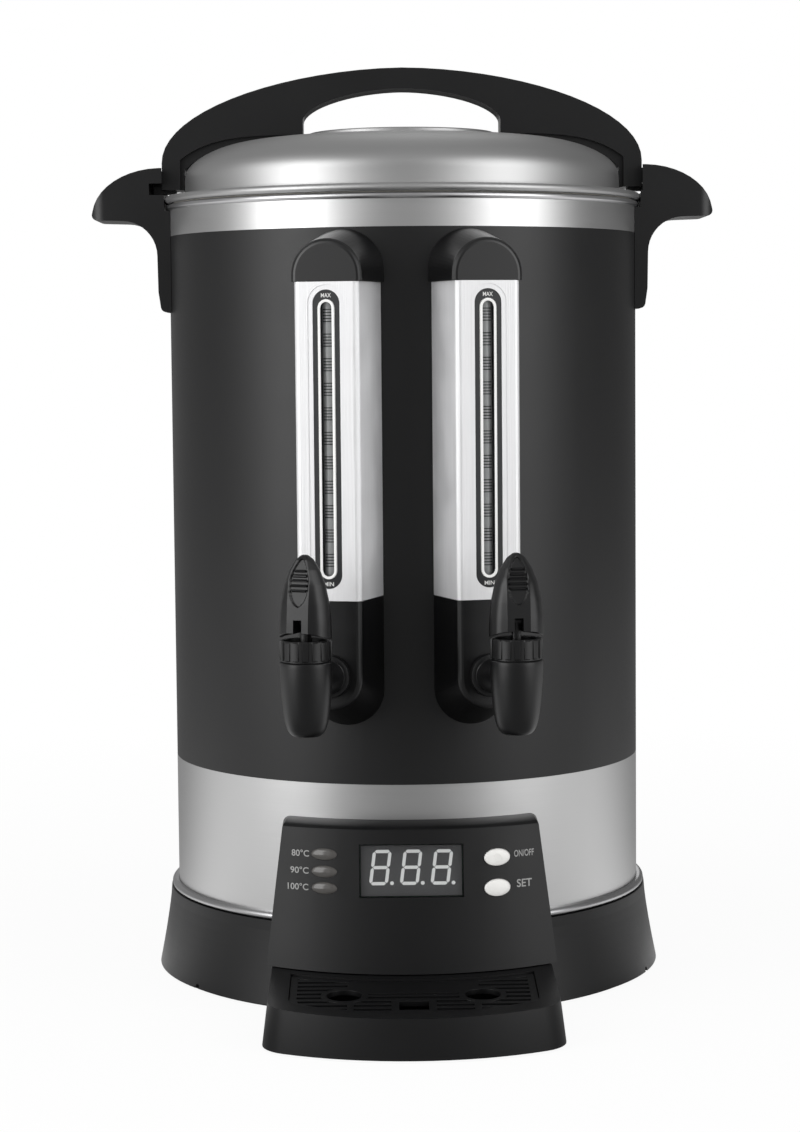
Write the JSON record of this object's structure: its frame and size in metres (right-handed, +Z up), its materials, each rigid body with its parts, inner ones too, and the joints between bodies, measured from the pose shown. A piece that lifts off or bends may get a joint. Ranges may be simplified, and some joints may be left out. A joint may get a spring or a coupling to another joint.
{
  "type": "hot water urn",
  "caption": "Double-walled hot water urn with a lift-off lid, level gauges with lever taps, a digital control console and a pull-out drip tray.",
  "frame": {"origin": "on the body's axis at the height of the table, in the plane of the rubber foot ring", "axes": "+Z up along the body's axis, -Y towards the taps and the drip tray, +X to the right seen from the front"},
  "size_m": [0.33, 0.3585, 0.4821],
  "materials": {
    "black_plastic": "satin moulded",
    "black_paint": "matte powder coat",
    "brushed_band": "brushed round the body",
    "lid_steel": "spun and satin polished",
    "tank_steel": "drawn, bright",
    "trim_chrome": "polished",
    "sheet_steel": "galvanised",
    "fastener_steel": "plated",
    "scale_black": "printed",
    "gauge_glass": "clear tube",
    "silicone": "matte",
    "fitting_brass": "turned",
    "stem_plastic": "moulded",
    "foot_rubber": "matte",
    "display_lens": "smoked window",
    "display_body": "dark grey face",
    "indicator_grey": "smoked lens",
    "circuit_board": "solder mask",
    "button_white": "moulded",
    "heater_aluminium": "cast",
    "thermostat_body": "phenolic",
    "sensor_steel": "drawn"
  },
  "bodies": {
    "root": {"base_ring": "black_plastic", "base_trim_ring": "trim_chrome", "bottom_cover": "sheet_steel", "foot_ring": "foot_rubber", "base_screws": "fastener_steel", "lower_band": "brushed_band", "outer_shell": "black_paint", "top_band": "brushed_band", "inner_tank": "tank_steel", "heating_element": "heater_aluminium", "thermostats": "thermostat_body", "temperature_sensor": "sensor_steel", "heat_shield": "sheet_steel", "power_board": "circuit_board", "power_inlet": "black_plastic", "left_side_handle": "black_plastic", "right_side_handle": "black_plastic", "side_handle_screws": "fastener_steel", "front_console": "black_plastic", "display_window": "display_lens", "led_display": "display_body", "indicator_lenses": "indicator_grey", "control_board": "circuit_board", "console_screws": "fastener_steel", "left_gauge_housing": "black_plastic", "left_gauge_cap": "black_plastic", "left_gauge_cover": "trim_chrome", "left_scale_plate": "scale_black", "left_sight_tube": "gauge_glass", "left_tube_seals": "silicone", "left_tank_fittings": "fitting_brass", "left_tap_body": "black_plastic", "left_tap_bonnet": "black_plastic", "left_tap_spring": "fastener_steel", "right_gauge_housing": "black_plastic", "right_gauge_cap": "black_plastic", "right_gauge_cover": "trim_chrome", "right_scale_plate": "scale_black", "right_sight_tube": "gauge_glass", "right_tube_seals": "silicone", "right_tank_fittings": "fitting_brass", "right_tap_body": "black_plastic", "right_tap_bonnet": "black_plastic", "right_tap_spring": "fastener_steel"},
    "left_stem": {"left_tap_stem": "stem_plastic", "left_seat_cup": "silicone"},
    "left_lever": {"left_tap_lever": "black_plastic", "left_tap_pin": "fastener_steel"},
    "right_stem": {"right_tap_stem": "stem_plastic", "right_seat_cup": "silicone"},
    "right_lever": {"right_tap_lever": "black_plastic", "right_tap_pin": "fastener_steel"},
    "on_off_button": {"on_off_button": "button_white"},
    "set_button": {"set_button": "button_white"},
    "tray": {"drip_tray": "black_plastic"},
    "grille": {"drip_grille": "black_plastic"},
    "seal": {"lid_seal": "silicone"},
    "lid": {"lid_dome": "lid_steel", "lid_handle": "black_plastic", "lid_handle_screws": "fastener_steel"}
  },
  "joints": [
    {"name": "left_stem_lift", "type": "slide", "parent": "root", "child": "left_stem", "axis": [0, 0, 1], "range_m": [0, 0.0042], "deforming": ["left_tap_spring"]},
    {"name": "left_lever_tilt", "type": "hinge", "parent": "left_stem", "child": "left_lever", "pos_m": [-0.04983, -0.19266, 0.2047], "axis": [0.9171, -0.3987, 0], "range_deg": [0, 55], "stiffness_Nm_per_rad": 0.12},
    {"name": "right_stem_lift", "type": "slide", "parent": "root", "child": "right_stem", "axis": [0, 0, 1], "range_m": [0, 0.0042], "deforming": ["right_tap_spring"]},
    {"name": "right_lever_tilt", "type": "hinge", "parent": "right_stem", "child": "right_lever", "pos_m": [0.04983, -0.19266, 0.2047], "axis": [0.9954, 0.0958, 0], "range_deg": [0, 55], "stiffness_Nm_per_rad": 0.12},
    {"name": "on_off_press", "type": "slide", "parent": "root", "child": "on_off_button", "axis": [0, 1, 0], "range_m": [0, 0.0012], "stiffness_N_per_m": 400},
    {"name": "set_press", "type": "slide", "parent": "root", "child": "set_button", "axis": [0, 1, 0], "range_m": [0, 0.0012], "stiffness_N_per_m": 400},
    {"name": "tray_slide", "type": "slide", "parent": "root", "child": "tray", "axis": [0, -1, 0], "range_m": [0, 0.08]},
    {"name": "grille_lift", "type": "slide", "parent": "tray", "child": "grille", "axis": [0, 0, 1], "range_m": [0, 0.03]},
    {"name": "lid_lift", "type": "slide", "parent": "root", "child": "seal", "axis": [0, 0, 1], "range_m": [0, 0.12]},
    {"name": "lid_turn", "type": "hinge", "parent": "seal", "child": "lid", "pos_m": [0, 0, 0.412], "axis": [0, 0, 1], "range_deg": [0, 8]}
  ],
  "couplings": [
    {"joint": "left_lever_tilt", "follows": "left_stem_lift", "rad_per_m": 228.53},
    {"joint": "right_lever_tilt", "follows": "right_stem_lift", "rad_per_m": 228.53}
  ]
}
